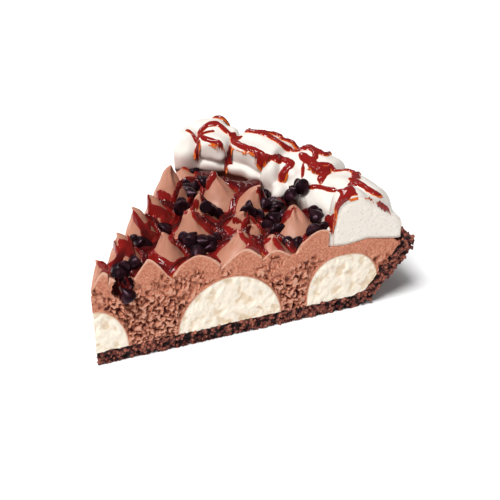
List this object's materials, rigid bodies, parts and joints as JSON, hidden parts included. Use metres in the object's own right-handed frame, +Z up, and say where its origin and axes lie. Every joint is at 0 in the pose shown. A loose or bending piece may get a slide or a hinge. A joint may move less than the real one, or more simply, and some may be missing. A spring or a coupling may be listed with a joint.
{
  "type": "slice of chocolate sundae pie",
  "caption": "Cut slice of cream pie: crumb crust, layered chocolate and vanilla mousse, piped peaks with chips, whipped cream at the rim and a chocolate sauce drizzle.",
  "frame": {"origin": "middle of the slice's footprint, on the surface that it stands on", "axes": "+X from the slice's point to its rim, +Z up, +Y to the left seen from the point"},
  "size_m": [0.1288, 0.1152, 0.053],
  "materials": {
    "crumb_crust": "dark crumbs",
    "chocolate_mousse": "light chocolate, matt, pitted at the cut",
    "vanilla_mousse": "off-white, matt",
    "chocolate_peak": "light chocolate, satin",
    "whipped_cream": "white, satin",
    "chocolate_chip": "dark chocolate, gloss",
    "chocolate_sauce": "dark red-brown, wet gloss"
  },
  "bodies": {
    "root": {"crust": "crumb_crust", "mousse": "chocolate_mousse", "whipped_cream": "whipped_cream", "vanilla_mound_tip": "vanilla_mousse", "vanilla_mound_middle": "vanilla_mousse", "vanilla_mound_outer": "vanilla_mousse", "peak_01": "chocolate_peak", "peak_02": "chocolate_peak", "peak_03": "chocolate_peak", "peak_04": "chocolate_peak", "peak_05": "chocolate_peak", "peak_06": "chocolate_peak", "peak_07": "chocolate_peak", "peak_08": "chocolate_peak", "peak_09": "chocolate_peak", "peak_10": "chocolate_peak", "peak_11": "chocolate_peak", "peak_12": "chocolate_peak", "peak_13": "chocolate_peak", "peak_14": "chocolate_peak", "peak_15": "chocolate_peak", "peak_16": "chocolate_peak", "peak_17": "chocolate_peak", "peak_18": "chocolate_peak", "peak_19": "chocolate_peak", "peak_20": "chocolate_peak", "chip_01": "chocolate_chip", "chip_02": "chocolate_chip", "chip_03": "chocolate_chip", "chip_04": "chocolate_chip", "chip_05": "chocolate_chip", "chip_06": "chocolate_chip", "chip_07": "chocolate_chip", "chip_08": "chocolate_chip", "chip_09": "chocolate_chip", "chip_10": "chocolate_chip", "chip_11": "chocolate_chip", "chip_12": "chocolate_chip", "chip_13": "chocolate_chip", "chip_14": "chocolate_chip", "chip_15": "chocolate_chip", "chip_16": "chocolate_chip", "chip_17": "chocolate_chip", "chip_18": "chocolate_chip", "chip_19": "chocolate_chip", "chip_20": "chocolate_chip", "chip_21": "chocolate_chip", "chip_22": "chocolate_chip", "chip_23": "chocolate_chip", "chip_24": "chocolate_chip", "chip_25": "chocolate_chip"}
  },
  "joints": []
}
